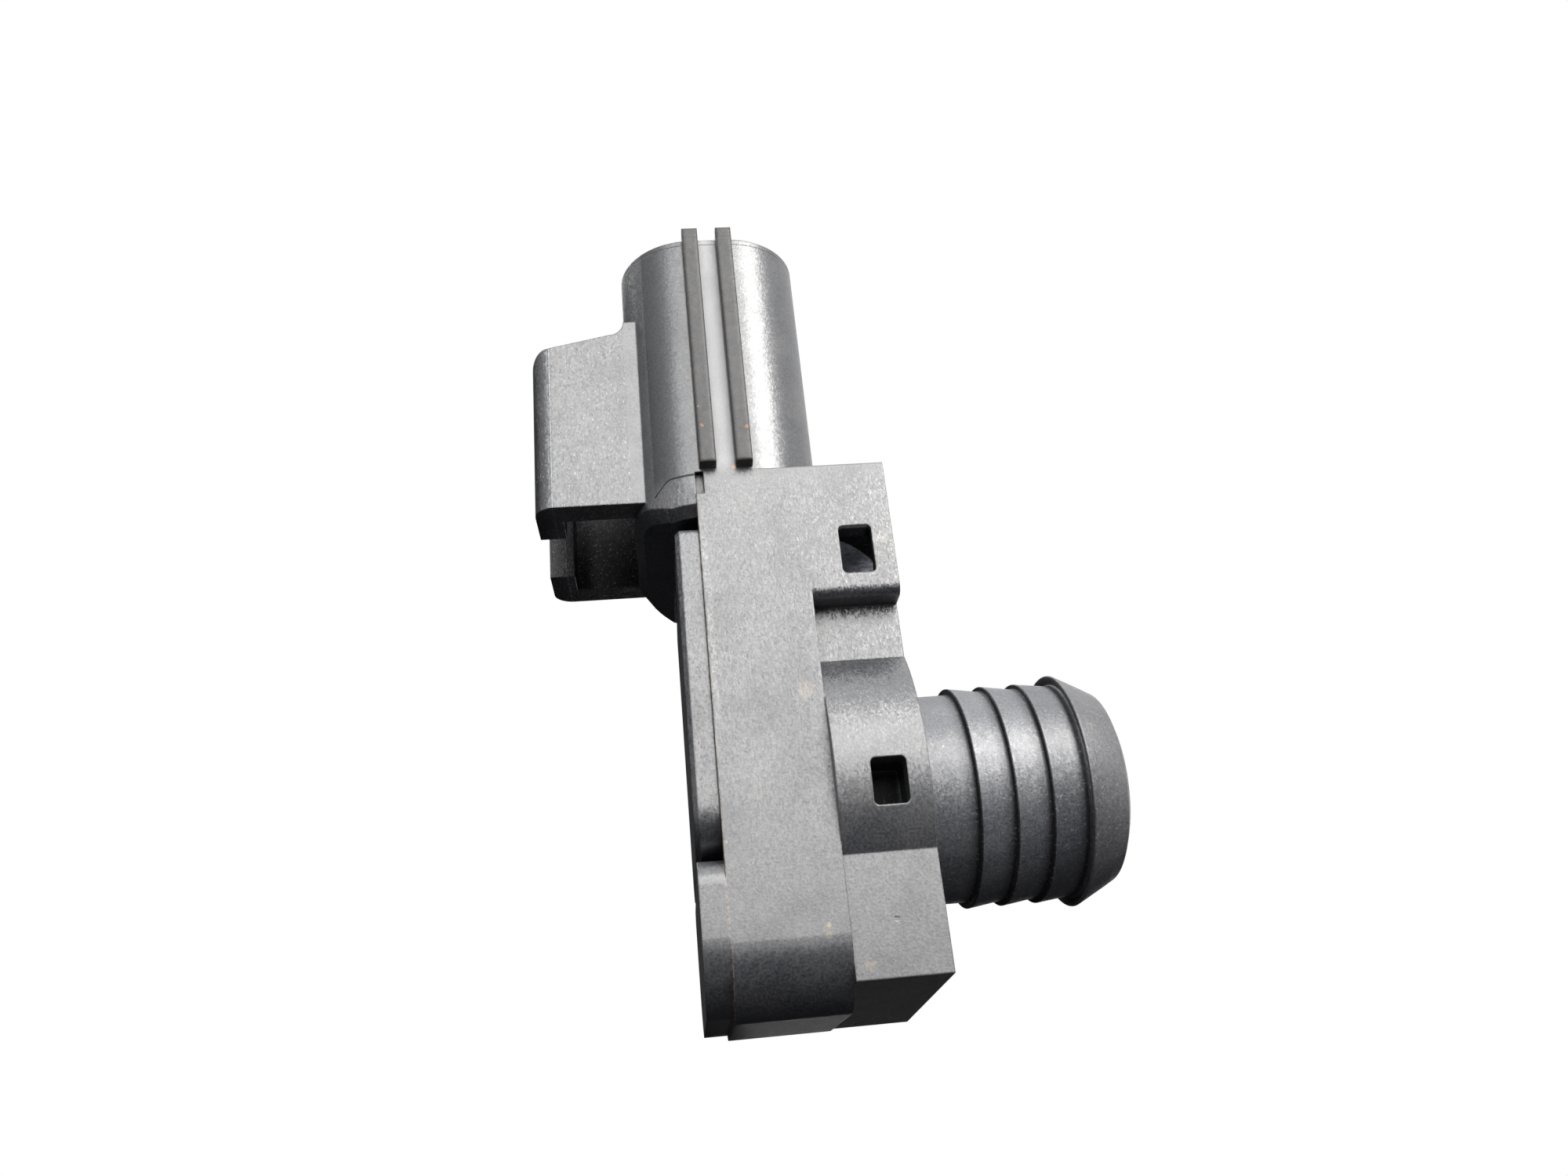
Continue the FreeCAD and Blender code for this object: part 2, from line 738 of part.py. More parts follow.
def make_board():
    """The board with its window over the cell and three holes for the tails."""
    body = new_body("circuit_board")
    half = chamber_width / 2 - board_gap
    plan = new_sketch(body, "BoardPlan", "YZ_Plane", chamber_floor)
    add_round_box(plan, -half, half, chamber_low + board_gap, chamber_high - board_gap,
                  chamber_corner - board_gap)
    add_square(plan, board_window)
    for place in terminal_places:
        middle = terminal_pitch * place
        add_box(plan, middle - blade_wide / 2, middle + blade_wide / 2, tail_low, tail_low + blade_thick)
    pad(body, "Board", plan, board_thick, reverse=True)
    return body


def make_ring(label, face, outer, inner, length):
    """A flat ring on the port axis, from a face back towards the cover."""
    body = new_body(label)
    plan = new_sketch(body, "RingPlan", "YZ_Plane", face)
    add_circle(plan, 0, 0, outer)
    add_circle(plan, 0, 0, inner)
    pad(body, "Ring", plan, length, reverse=True)
    return body


def make_dam():
    """A square frame on the board that keeps the gel in."""
    body = new_body("gel_dam")
    plan = new_sketch(body, "DamPlan", "YZ_Plane", board_back)
    add_square(plan, dam_side)
    add_square(plan, dam_side - dam_wall * 2)
    pad(body, "Dam", plan, dam_tall, reverse=True)
    return body


def make_gel():
    """The soft gel over the die, filling the board's window and most of the dam."""
    body = new_body("gel_fill")
    window = new_sketch(body, "WindowPlan", "YZ_Plane", chamber_floor)
    add_square(window, board_window)
    pad(body, "InWindow", window, board_thick, reverse=True)
    inside = new_sketch(body, "DamInside", "YZ_Plane", board_back)
    add_square(inside, dam_side - dam_wall * 2)
    pad(body, "InDam", inside, dam_tall - gel_below_rim, reverse=True)
    hollow = new_sketch(body, "DieHollow", "YZ_Plane", chamber_floor)
    add_square(hollow, die_side)
    pocket(body, "DieRoom", hollow, die_thick)
    return body


def make_brick(label, back, thick, side, wide, up, tall):
    """A small block that stands on a face of the board or the cell, towards the cover."""
    brick = doc.addObject("Part::Box", label)
    bind(brick, "Length", thick)
    bind(brick, "Width", wide)
    bind(brick, "Height", tall)
    bind(brick, "Placement.Base.x", back - thick)
    bind(brick, "Placement.Base.y", side - wide / 2)
    bind(brick, "Placement.Base.z", up - tall / 2)
    return brick


def make_group(label, members):
    group = doc.addObject("Part::Compound", label)
    group.Links = members
    group.Label = label
    return group


def make_capacitors():
    members = []
    for place in terminal_places:
        members.append(make_brick("Capacitor", board_back, capacitor_tall, capacitor_pitch * place,
                                  capacitor_long, capacitor_up, capacitor_wide))
    return make_group("filter_capacitors", members)


def make_solder():
    """A tapered heap of solder round each tail."""
    members = []
    up = tail_low + blade_thick / 2
    for place in terminal_places:
        middle = terminal_pitch * place
        heap = doc.addObject("Part::Wedge", "SolderHeap")
        bind(heap, "Xmin", -solder_foot / 2)
        bind(heap, "Xmax", solder_foot / 2)
        bind(heap, "Zmin", -solder_foot / 2)
        bind(heap, "Zmax", solder_foot / 2)
        bind(heap, "Ymin", 0)
        bind(heap, "Ymax", solder_tall)
        bind(heap, "X2min", -blade_wide / 2 - solder_rim)
        bind(heap, "X2max", blade_wide / 2 + solder_rim)
        bind(heap, "Z2min", -blade_thick / 2 - solder_rim)
        bind(heap, "Z2max", blade_thick / 2 + solder_rim)
        heap.Placement.Rotation = FreeCAD.Rotation(FreeCAD.Vector(0, 0, 1), 90)
        bind(heap, "Placement.Base.x", board_back)
        bind(heap, "Placement.Base.y", middle)
        bind(heap, "Placement.Base.z", up)
        tail = make_brick("TailRoom", board_back, solder_tall, middle, blade_wide, up, blade_thick)
        joint = doc.addObject("Part::Cut", "SolderJoint")
        joint.Base = heap
        joint.Tool = tail
        members.append(joint)
    return make_group("solder_joints", members)


def save_all(pieces):
    """Check every object and piece, then write one file for each piece."""
    doc.recompute()
    for thing in doc.Objects:
        if {"Invalid", "Error"} & set(thing.State):
            raise RuntimeError(f"{thing.Name} failed: {thing.State}")
    for piece in pieces:
        if piece.Shape.isNull() or not piece.Shape.isValid():
            raise RuntimeError(f"{piece.Label} has no valid shape")
    for piece in pieces:
        piece.Shape.exportStep(f"parts/{piece.Label}.step")
        print(piece.Label, len(piece.Shape.Solids), round(piece.Shape.Volume, 2))


well_side = well_radius - well_gap
seal_side = well_radius - seal_gap

save_all([
    make_housing(),
    make_cover(),
    make_cover_seal(),
    make_sleeve(),
    make_terminal("supply_terminal", -1),
    make_terminal("signal_terminal", 0),
    make_terminal("ground_terminal", 1),
    make_solder(),
    make_board(),
    make_brick("evaluation_chip", board_back, chip_thick, as_size(0), chip_side, chip_up, chip_side),
    make_capacitors(),
    make_ring("pressure_cell", cell_front, well_side, cell_channel, cell_thick),
    make_ring("cell_seal", well_floor, seal_side, seal_side - seal_wide, seal_thick),
    make_brick("sensing_die", chamber_floor, die_thick, as_size(0), die_side, as_size(0), die_side),
    make_dam(),
    make_gel(),
])
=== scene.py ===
import math
import bpy
import numpy as np
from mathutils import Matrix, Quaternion, Vector


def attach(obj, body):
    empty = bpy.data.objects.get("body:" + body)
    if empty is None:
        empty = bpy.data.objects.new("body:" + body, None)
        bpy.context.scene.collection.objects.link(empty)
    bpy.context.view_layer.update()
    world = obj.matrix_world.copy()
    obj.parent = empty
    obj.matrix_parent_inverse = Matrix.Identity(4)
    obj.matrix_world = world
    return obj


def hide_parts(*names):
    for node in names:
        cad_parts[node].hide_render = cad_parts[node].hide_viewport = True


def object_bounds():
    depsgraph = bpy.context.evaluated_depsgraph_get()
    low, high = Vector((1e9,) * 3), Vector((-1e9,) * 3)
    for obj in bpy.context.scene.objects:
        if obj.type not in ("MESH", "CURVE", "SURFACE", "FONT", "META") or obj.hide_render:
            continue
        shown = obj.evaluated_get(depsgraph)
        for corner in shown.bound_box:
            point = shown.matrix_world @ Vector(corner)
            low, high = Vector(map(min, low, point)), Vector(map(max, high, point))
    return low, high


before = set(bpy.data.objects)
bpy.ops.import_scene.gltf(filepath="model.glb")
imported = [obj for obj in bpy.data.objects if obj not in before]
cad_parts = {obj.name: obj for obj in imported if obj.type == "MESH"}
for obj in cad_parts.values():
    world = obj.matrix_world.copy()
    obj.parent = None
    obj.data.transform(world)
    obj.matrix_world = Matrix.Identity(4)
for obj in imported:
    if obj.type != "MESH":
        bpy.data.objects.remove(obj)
cad_low, cad_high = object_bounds()

MM = 0.001
FULL_TURN = 2 * math.pi

# Camera of the photo: below the port, looking up at the ribbed side
CAMERA_PLACE = Vector((-20.62, -109.44, -26.4)) * MM
CAMERA_YAW = math.radians(6.32)
CAMERA_PITCH = math.radians(23.64)
CAMERA_ROLL = math.radians(-6.01)
CAMERA_LENS = 28.5
CAMERA_SENSOR = 36.0
CAMERA_NEAR = 0.004

# Stage, in metres
OBJECT_MIDDLE = (cad_low + cad_high) / 2
FLOOR_HEIGHT = -0.12
FLOOR_HALF = 2.0
FLAG_UNDER_HEIGHT = -0.06
FLAG_UNDER_HALF = 0.4
FLAG_BEHIND_PLACE = (-0.37, 0.37, 0.25)
FLAG_BEHIND_HALF = 0.55

# Lamps: name, direction from the object, distance, width, height, glow and tint
WARM_WHITE = (1.0, 0.99, 0.97)
COOL_WHITE = (0.95, 0.98, 1.0)
LAMPS = (
    ("window", (0.12, -0.95, 0.3), 0.6, 0.5, 0.27, 4.2, WARM_WHITE),
    ("window_top", (0.12, -0.76, 0.64), 0.6, 0.5, 0.2, 4.8, WARM_WHITE),
    ("window_pane", (0.58, -0.65, 0.5), 0.6, 0.24, 0.34, 13.0, WARM_WHITE),
    ("window_left", (-0.45, -0.8, 0.46), 0.6, 0.12, 0.34, 4.2, COOL_WHITE),
    ("ceiling", (0.1, -0.1, 1.0), 0.6, 0.5, 0.5, 1.1, COOL_WHITE),
    ("back", (-0.45, 0.5, 0.75), 0.7, 0.6, 0.5, 2.6, (1.0, 1.0, 1.0)),
)

# Sleeve profile, in millimetres along the port axis and out from it
RING_PLACES = (4.88, 8.01, 11.14)
RING_RADIUS = 9.87
BARB_PLACE = 14.2
BARB_RADIUS = 10.6
SLEEVE_START = -0.5
SLEEVE_ROOT = 9.3
SLEEVE_VALLEY = 9.4
SLEEVE_BORE = 6.4
GROOVE_START = 11.2
GROOVE_RADIUS = 7.3
LIP_START = 17.2
LIP_RADIUS = 4.6
SLEEVE_TIP = 18.65
OUTSIDE_FROM = 8.0
SHARP = 0.02
SLEEVE_COLUMNS = 240
CORNER_STEPS = 7

# How much of a finish's own gloss, and of the plastic's colour and sparkle, painted shade and smudges
# take
SHADE_AND_GREASE_COVER = 0.85
MOULDED_IOR = 1.6

# Pace of the board's glass weave, in radians a metre
WEAVE_PACE = 9000.0

# Marks on the housing, where the photo shows them, in millimetres
PALE_STAIN_PLACES = [(-9.2, -13.4, 6.85)]
TAN_STAIN_PLACES = [(-0.85, -13.4, 20.1), (-0.65, -14.3, 0.7), (-9.4, -13.4, -12.7), (-6.3, -13.0, -15.4)]
GRIT_PLACES = [(-0.25, -13.4, 16.3), (-16.5, -13.3, -5.3), (-9.2, -13.4, -12.2)]
RUST_PLACES = [(-15.9, -14.7, 31.6), (-11.9, -14.7, 31.3), (-13.3, -13.4, 27.9)]
SMALL_RUST_PLACES = [(-16.1, -14.6, 33.6), (-16.6, -14.3, 33.0)]
SOOT_PLACES = [(-10.9, -13.0, 29.3), (-10.75, -13.0, 29.7)]
GATE_PLACES = [(-3.9, -12.95, -12.15)]
PARTING_HEIGHT = 27.39
RIM_LINE_HEIGHT = 52.5
FLASH_LINE_PLACE = -29.55
BLOCK_BACK = -16.8

# Marks on the sleeve
SLEEVE_GRIT_PLACES = [(6.4, -8.7, -3.7), (2.6, -9.0, 2.3)]
SMEAR_PLACES = [(14.95, -9.6, 1.3), (15.4, -9.2, 3.3)]


def make_camera():
    """The camera that took the photo, in the part's own frame."""
    data = bpy.data.cameras.new("photo_camera")
    data.lens = CAMERA_LENS
    data.sensor_width = CAMERA_SENSOR
    data.clip_start = CAMERA_NEAR
    camera = bpy.data.objects.new("photo_camera", data)
    bpy.context.scene.collection.objects.link(camera)
    ahead = Vector((
        math.sin(CAMERA_YAW) * math.cos(CAMERA_PITCH),
        math.cos(CAMERA_YAW) * math.cos(CAMERA_PITCH),
        math.sin(CAMERA_PITCH),
    ))
    camera.location = CAMERA_PLACE
    camera.rotation_mode = "QUATERNION"
    level = ahead.to_track_quat("-Z", "Y")
    camera.rotation_quaternion = level @ Quaternion((0, 0, 1), CAMERA_ROLL)
    bpy.context.scene.camera = camera


def make_softbox(name, direction, distance, width, height, glow, tint):
    """An area lamp that hangs in a direction from the object, faces it and glows evenly."""
    data = bpy.data.lights.new(name, "AREA")
    data.shape = "RECTANGLE"
    data.size = width
    data.size_y = height
    data.energy = glow * math.pi * width * height
    data.color = tint
    lamp = bpy.data.objects.new(name, data)
    bpy.context.scene.collection.objects.link(lamp)
    towards = Vector(direction).normalized()
    lamp.location = OBJECT_MIDDLE + towards * distance
    lamp.rotation_mode = "QUATERNION"
    lamp.rotation_quaternion = (-towards).to_track_quat("-Z", "Y")
    lamp.visible_camera = False


def make_lights():
    """A broad window ahead with a brighter top, its bright pane to the right, and lesser lamps."""
    for row in LAMPS:
        make_softbox(*row)


def make_world():
    """White to the camera, in mirrors and through glass, and a dim cool fill for all else."""
    world = bpy.data.worlds.new("studio")
    bpy.context.scene.world = world
    world.use_nodes = True
    tree = world.node_tree
    tree.nodes.clear()
    fill = tree.nodes.new("ShaderNodeBackground")
    fill.inputs["Color"].default_value = (0.75, 0.85, 1.0, 1)
    fill.inputs["Strength"].default_value = 0.08
    white = tree.nodes.new("ShaderNodeBackground")
    white.inputs["Color"].default_value = (1, 1, 1, 1)
    white.inputs["Strength"].default_value = 1.0
    path = tree.nodes.new("ShaderNodeLightPath")
    mix = tree.nodes.new("ShaderNodeMixShader")
    out = tree.nodes.new("ShaderNodeOutputWorld")
    tree.links.new(seen_directly(tree, path), mix.inputs["Fac"])
    tree.links.new(fill.outputs["Background"], mix.inputs[1])
    tree.links.new(white.outputs["Background"], mix.inputs[2])
    tree.links.new(mix.outputs["Shader"], out.inputs["Surface"])


def seen_directly(tree, path):
    """One for camera, glossy and transmission rays, and nothing for the light that bounces."""
    total = path.outputs["Is Camera Ray"]
    for kind in ("Is Glossy Ray", "Is Transmission Ray"):
        either = tree.nodes.new("ShaderNodeMath")
        either.operation = "MAXIMUM"
        tree.links.new(total, either.inputs[0])
        tree.links.new(path.outputs[kind], either.inputs[1])
        total = either.outputs[0]
    return total


def make_floor():
    """A pale floor that keeps the shadow near the object and fades to the white backdrop."""
    f = Finish("pale_floor")
    seen = seen_directly(f.tree, f.add("LightPath"))
    colour = f.blend(seen, (0.08, 0.08, 0.085), (0.9, 0.9, 0.9))
    f.feed(f.shader.inputs["Base Color"], colour)
    f.shader.inputs["Roughness"].default_value = 0.9
    f.shader.inputs["Specular IOR Level"].default_value = 0.1
    glow = f.add("Emission", {"Color": (1, 1, 1, 1), "Strength": 1.0})
    away = f.add("VectorMath", {0: f.spot, 1: (0, 0, FLOOR_HEIGHT)}, operation="DISTANCE")
    far = f.rise(away.outputs["Value"], 0.05, 0.7)
    share = f.all_of(seen, f.grow(far, 0.55, 0.45))
    mix = f.add("MixShader", {0: share, 1: f.shader.outputs["BSDF"], 2: glow.outputs["Emission"]})
    f.tree.links.new(mix.outputs["Shader"], f.tree.nodes["Material Output"].inputs["Surface"])
    make_card("floor", FLOOR_HALF, FLOOR_HEIGHT, f.material)


def make_flags():
    """Two black cards that only gloss sees: one under the object, one upright behind it to the left."""
    f = Finish("black_card")
    f.shader.inputs["Base Color"].default_value = (0.01, 0.01, 0.011, 1)
    f.shader.inputs["Roughness"].default_value = 1.0
    f.shader.inputs["Specular IOR Level"].default_value = 0.0
    under = make_card("flag_under", FLAG_UNDER_HALF, FLAG_UNDER_HEIGHT, f.material)
    behind = make_card("flag_behind", FLAG_BEHIND_HALF, 0.0, f.material)
    behind.location = FLAG_BEHIND_PLACE
    behind.rotation_euler = (math.radians(90), 0, math.radians(45))
    for flag in (under, behind):
        flag.visible_camera = False
        flag.visible_diffuse = False
        flag.visible_transmission = False
        flag.visible_shadow = False


def make_card(name, half, height, material):
    """A square of the stage, level at a height until it is turned."""
    mesh = bpy.data.meshes.new(name)
    corners = [(-half, -half), (half, -half), (half, half), (-half, half)]
    mesh.from_pydata([(x, y, height) for x, y in corners], [], [(0, 1, 2, 3)])
    mesh.materials.append(material)
    card = bpy.data.objects.new(name, mesh)
    bpy.context.scene.collection.objects.link(card)
    return card


class Finish:
    """A material being built, with short ways to add nodes and to link or set their sockets.

    A share is a socket whose value runs from nothing to one. Sizes and places are in millimetres.
    """

    def __init__(self, name):
        self.material = bpy.data.materials.new(name)
        self.material.use_nodes = True
        self.tree = self.material.node_tree
        self.shader = self.tree.nodes["Principled BSDF"]
        self.spot = self.add("TexCoord").outputs["Object"]
        parts = self.add("SeparateXYZ", {"Vector": self.spot})
        self.x, self.y, self.z = (parts.outputs[axis] for axis in "XYZ")

    def feed(self, socket, value):
        """Link a socket to another one, or set it to a constant."""
        if isinstance(value, bpy.types.NodeSocket):
            self.tree.links.new(value, socket)
        elif isinstance(value, tuple) and socket.type == "RGBA" and len(value) == 3:
            socket.default_value = (*value, 1)
        else:
            socket.default_value = value

    def add(self, kind, inputs=None, **settings):
        """A new node of a kind, with its settings made and its inputs fed."""
        node = self.tree.nodes.new("ShaderNode" + kind)
        for key, value in settings.items():
            setattr(node, key, value)
        for socket, value in (inputs or {}).items():
            self.feed(node.inputs[socket], value)
        return node

    def math(self, operation, *values):
        """The result of one Math node."""
        return self.add("Math", dict(enumerate(values)), operation=operation).outputs[0]

    def part(self, share, amount):
        """A share made weaker, or a value scaled."""
        return self.math("MULTIPLY", share, amount)

    def grow(self, share, start, gain):
        """A value that starts where the share is nothing, and gains all of gain where it is one."""
        return self.math("MULTIPLY_ADD", share, gain, start)

    def rest(self, share):
        """One where the share is nothing, and the other way round."""
        return self.math("SUBTRACT", 1.0, share)

    def all_of(self, *shares):
        """One only where all of the shares are."""
        total = shares[0]
        for share in shares[1:]:
            total = self.math("MULTIPLY", total, share)
        return total

    def most_of(self, *shares):
        """The largest of the shares."""
        total = shares[0]
        for share in shares[1:]:
            total = self.math("MAXIMUM", total, share)
        return total

    def rise(self, value, low, high):
        """Nothing below low, one above high, and a smooth step between them."""
        inputs = {"Value": value, "From Min": low, "From Max": high}
        return self.add("MapRange", inputs, interpolation_type="SMOOTHSTEP").outputs["Result"]

    def past(self, place, low, high):
        """A share that rises as a coordinate goes from low to high."""
        return self.rise(place, low * MM, high * MM)

    def before(self, place, low, high):
        """A share that falls as a coordinate goes from low to high."""
        return self.rest(self.past(place, low, high))

    def band(self, place, middle, half):
        """A narrow stripe where a coordinate lies near a place."""
        off = self.math("ABSOLUTE", self.math("SUBTRACT", place, middle * MM))
        return self.before(off, half * 0.4, half)

    def noise(self, size, detail=2.0, stretch=None):
        """Noise whose lumps are about a size across."""
        place = self.spot
        if stretch is not None:
            place = self.add("VectorMath", {0: self.spot, 1: stretch}, operation="MULTIPLY").outputs[0]
        inputs = {"Vector": place, "Scale": 1 / (size * MM), "Detail": detail}
        return self.add("TexNoise", inputs).outputs["Fac"]

    def patches(self, size, detail, low, high, stretch=None):
        """Soft-edged patches: one where noise of a size is above high, and nothing below low."""
        return self.rise(self.noise(size, detail, stretch), low, high)

    def blend(self, share, before, after):
        """One colour turning into another as the share grows."""
        inputs = {"Factor": share, "A": before, "B": after}
        return self.add("Mix", inputs, data_type="RGBA").outputs["Result"]

    def spots(self, places, radius):
        """Round marks about given places, with a ragged edge."""
        ragged = self.part(self.noise(radius * 0.7), radius * MM)
        total = 0.0
        for place in places:
            at = tuple(c * MM for c in place)
            away = self.add("VectorMath", {0: self.spot, 1: at}, operation="DISTANCE").outputs["Value"]
            near = self.before(self.math("ADD", away, ragged), radius, radius * 1.35)
            total = self.most_of(total, near)
        return total

    def edges(self, radius, low, high):
        """The normal rounded over sharp edges, and a share that is one there.

        The radius is in metres. The share comes from how far the rounded normal leans from the true one.
        """
        rounded = self.add("Bevel", {"Radius": radius})
        rounded.samples = 6
        true = self.add("NewGeometry").outputs["True Normal"]
        dot = self.add("VectorMath", {0: rounded.outputs["Normal"], 1: true}, operation="DOT_PRODUCT")
        return rounded.outputs["Normal"], self.rise(self.rest(dot.outputs["Value"]), low, high)

    def shade_in_hollows(self, reach, low, high):
        """A share that is one in corners and holes and nothing in the open, from ambient occlusion:
        painted shade.
        """
        node = self.add("AmbientOcclusion", {"Distance": reach * MM})
        node.samples = 8
        return self.rest(self.rise(node.outputs["AO"], low, high))

    def sparkle(self, normal, size, tilt):
        """The normal, leant at random in each cell of a grain, stretched a little along the flow."""
        inputs = {"Vector": self.spot, "Rotation": (0.3, 0.6, 0.2), "Scale": (1, 1, 0.5)}
        place = self.add("Mapping", inputs).outputs["Vector"]
        cells = self.add("TexVoronoi", {"Vector": place, "Scale": 1 / (size * MM)})
        centred = {0: cells.outputs["Color"], 1: (0.5, 0.5, 0.5)}
        lean = self.add("VectorMath", centred, operation="SUBTRACT").outputs[0]
        lean = self.add("VectorMath", {0: lean, "Scale": tilt}, operation="SCALE").outputs[0]
        total = self.add("VectorMath", {0: normal, 1: lean}, operation="ADD").outputs[0]
        return self.add("VectorMath", {0: total}, operation="NORMALIZE").outputs[0]

    def bump(self, height, strength, distance, normal=None):
        """A normal that follows a height, over another normal if one is given."""
        inputs = {"Height": height, "Strength": strength, "Distance": distance * MM}
        if normal is not None:
            inputs["Normal"] = normal
        return self.add("Bump", inputs).outputs["Normal"]

    def close(self, colour, normal, roughness):
        """Feed the shader and hand over the finished material."""
        self.feed(self.shader.inputs["Base Color"], colour)
        if normal is not None:
            self.feed(self.shader.inputs["Normal"], normal)
        self.feed(self.shader.inputs["Roughness"], roughness)
        return self.material


def moulded_plastic(name, dark, pale, marks=None):
    """Black glass-filled plastic with a sparkling grain, paler where worn, with painted shade in its
    corners.

    The grain grows coarser from the foot up, except on the smoother shroud, and painted shade and smudges
    take its sparkle.
    """
    f = Finish(name)
    grain = f.noise(0.2, 2.5)
    colour = f.blend(f.rise(grain, 0.32, 0.68), dark, pale)
    film = f.patches(5.0, 5.0, 0.45, 0.75)
    colour = f.blend(f.part(film, 0.09), colour, (0.36, 0.35, 0.32))
    on_ribs = f.all_of(f.before(f.y, -13.9, -13.6), f.past(f.z, 26, 27))
    rounded, edge = f.edges(f.grow(on_ribs, 0.2 * MM, 0.25 * MM), 0.03, 0.25)
    worn = f.all_of(edge, f.patches(0.7, 3.0, 0.4, 0.62))
    colour = f.blend(f.part(worn, 0.2), colour, (0.42, 0.39, 0.35))
    smudges = f.patches(4.0, 4.0, 0.42, 0.7)
    # Painted shade from ambient occlusion in corners and holes, together with random smudges
    shade_and_grease = f.most_of(f.shade_in_hollows(2.2, 0.22, 0.62), f.part(smudges, 0.14))
    height = grain
    if marks is not None:
        colour, height, shade_and_grease = marks(f, colour, height, shade_and_grease, on_ribs)
    # Painted shade and smudges darken the colour here, and further down take the gloss and sparkle
    colour = f.blend(f.part(shade_and_grease, SHADE_AND_GREASE_COVER), colour, (0.01, 0.01, 0.011))
    clear_of_guard = f.past(f.x, -22.6, -22.3)
    on_shroud = f.all_of(clear_of_guard, f.past(f.z, 25, 28))
    on_guard = f.all_of(f.rest(clear_of_guard), f.past(f.z, 25, 26))
    coarse = f.all_of(f.past(f.z, -16, 20), f.grow(on_shroud, 1.0, -0.75))
    flecks = f.patches(0.22, 3.0, 0.6, 0.72, (1.3, 1.0, 0.7))
    colour = f.blend(f.all_of(flecks, coarse, f.grow(on_guard, 0.25, 0.3)), colour, (0.42, 0.42, 0.43))
    bare = f.grow(shade_and_grease, 1.0, -SHADE_AND_GREASE_COVER)
    bumped = f.bump(height, f.grow(coarse, 0.25, 0.3), 0.035, rounded)
    normal = f.sparkle(bumped, 0.13, f.all_of(f.grow(coarse, 0.03, 0.2), bare))
    roughness = f.grow(on_ribs, f.grow(f.noise(0.35, 2.0), 0.24, 0.2), 0.12)
    f.shader.inputs["IOR"].default_value = MOULDED_IOR
    f.feed(f.shader.inputs["Specular IOR Level"], bare)
    return f.close(colour, normal, roughness)


def mould_lines(f):
    """The dark mould lines, the raised flash down the guard with a painted highlight along it, and the
    strip of shroud beside the guard.

    The dark lines are the parting line low on that strip, which drops towards the guard, and a
    fainter line under the shroud's rim.
    """
    beside_guard = f.all_of(f.past(f.x, -20.45, -20.35), f.before(f.x, BLOCK_BACK - 0.06, BLOCK_BACK))
    bend = f.part(f.before(f.x, -20.9, -18.9), 1.4 * MM)
    parting = f.all_of(f.band(f.math("ADD", f.z, bend), PARTING_HEIGHT, 0.13), beside_guard)
    rim = f.band(f.z, RIM_LINE_HEIGHT, 0.06)
    # A raised flash line, which is painted pale further down as a highlight
    flash_and_highlight = f.all_of(f.band(f.x, FLASH_LINE_PLACE, 0.06), f.past(f.z, 26, 26.5))
    return f.most_of(parting, f.part(rim, 0.7)), flash_and_highlight, beside_guard


def window_depths(f):
    """Painted shade over the inside of both window holes on the ribbed side, and painted light on the
    inner wall of the upper one.
    """
    deep = f.all_of(f.past(f.y, -13.1, -12.7), f.before(f.y, -6, -5))
    low_window = f.all_of(deep, f.band(f.x, -3.3, 2.6), f.band(f.z, -1.65, 3.0))
    high_window = f.all_of(deep, f.past(f.z, 16, 16.2), f.before(f.z, 23, 23.4),
                           f.past(f.x, -5.2, -4.8), f.before(f.x, -0.7, -0.4))
    slant = f.math("MULTIPLY_ADD", f.x, -0.67, f.y)
    lit_inner_wall = f.all_of(high_window, f.past(slant, -6.15, -6.0))
    return f.most_of(low_window, high_window), lit_inner_wall


